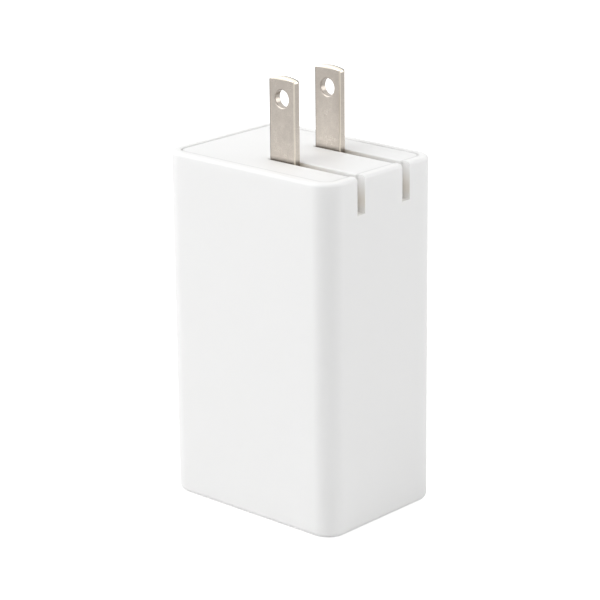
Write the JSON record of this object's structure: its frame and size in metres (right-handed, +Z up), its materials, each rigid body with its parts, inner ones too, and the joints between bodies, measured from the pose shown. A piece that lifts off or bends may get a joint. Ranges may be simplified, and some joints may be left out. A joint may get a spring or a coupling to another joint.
{
  "type": "usb wall charger",
  "caption": "Upright rectangular wall charger with flat parallel blades that fold sideways into slots across its top and one side, and ports in its base.",
  "frame": {"origin": "centre of the port end, on the plane it stands on", "axes": "+Z up along the body towards the prongs; X across the wide way, with the prongs folding over towards +X; Y across the thickness"},
  "size_m": [0.042, 0.031, 0.0849],
  "materials": {
    "housing_plastic": "satin white, fine even texture",
    "carrier_plastic": "matt dark nylon",
    "plated_blade": "nickel plated brass, satin",
    "steel_parts": "zinc plated",
    "spring_bronze": "bare spring bronze",
    "wire_sleeve": "insulated lead",
    "board_laminate": "green solder mask",
    "chip_epoxy": "black moulded epoxy",
    "chip_ceramic": "ceramic chip",
    "ferrite": "dark ferrite",
    "copper_winding": "enamelled copper",
    "polyester_tape": "yellow tape",
    "capacitor_can": "sleeved can",
    "film_box": "yellow box",
    "ceramic_coat": "blue coating",
    "fuse_body": "brown moulded case",
    "thermistor_coat": "dark green coating",
    "coupler_body": "white moulded case",
    "inductor_iron": "pressed iron powder",
    "port_metal": "bright stainless",
    "port_insulator": "black moulded insulator",
    "port_insulator_light": "black moulded insulator",
    "contact_gold": "gold plated",
    "spreader_metal": "plain sheet",
    "insulating_film": "black film",
    "thermal_silicone": "soft grey pad"
  },
  "bodies": {
    "housing": {"housing_shell": "housing_plastic", "prong_cap": "housing_plastic", "pivot_bracket": "carrier_plastic", "bracket_screws": "steel_parts", "contact_spring_left": "spring_bronze", "contact_spring_right": "spring_bronze", "detent_spring": "steel_parts", "lead_wire_left": "wire_sleeve", "lead_wire_right": "wire_sleeve", "main_board": "board_laminate", "port_board": "board_laminate", "riser_board": "board_laminate", "secondary_controller": "chip_epoxy", "transformer_core_rear": "ferrite", "transformer_core_front": "ferrite", "transformer_bobbin": "carrier_plastic", "transformer_winding": "copper_winding", "transformer_tape": "polyester_tape", "bulk_capacitors": "capacitor_can", "output_capacitors": "capacitor_can", "line_filter_capacitor": "film_box", "safety_capacitor": "ceramic_coat", "line_fuse": "fuse_body", "inrush_thermistor": "thermistor_coat", "choke_base": "carrier_plastic", "choke_core": "ferrite", "choke_windings": "copper_winding", "bridge_rectifier": "chip_epoxy", "power_switch": "chip_epoxy", "primary_controller": "chip_epoxy", "isolating_coupler": "coupler_body", "synchronous_rectifier": "chip_epoxy", "chip_parts": "chip_ceramic", "output_inductors": "inductor_iron", "port_controllers": "chip_epoxy", "port_shell_left": "port_metal", "port_shell_middle": "port_metal", "port_shell_right": "port_metal", "port_insulator_left": "port_insulator", "port_insulator_middle": "port_insulator", "port_insulator_right": "port_insulator_light", "port_contacts_left": "contact_gold", "port_contacts_middle": "contact_gold", "port_contacts_right": "contact_gold", "heat_spreader_front": "spreader_metal", "heat_spreader_rear": "spreader_metal", "insulating_sheet_front": "insulating_film", "insulating_sheet_rear": "insulating_film", "thermal_pad_front": "thermal_silicone", "thermal_pad_rear": "thermal_silicone"},
    "prongs": {"blade_left": "plated_blade", "blade_right": "plated_blade", "prong_carrier": "carrier_plastic"}
  },
  "joints": [
    {"name": "prong_fold", "type": "hinge", "parent": "housing", "child": "prongs", "pos_m": [0.00164, 0, 0.06584], "axis": [0, 1, 0], "range_deg": [0, 90], "deforming": ["detent_spring"]}
  ]
}
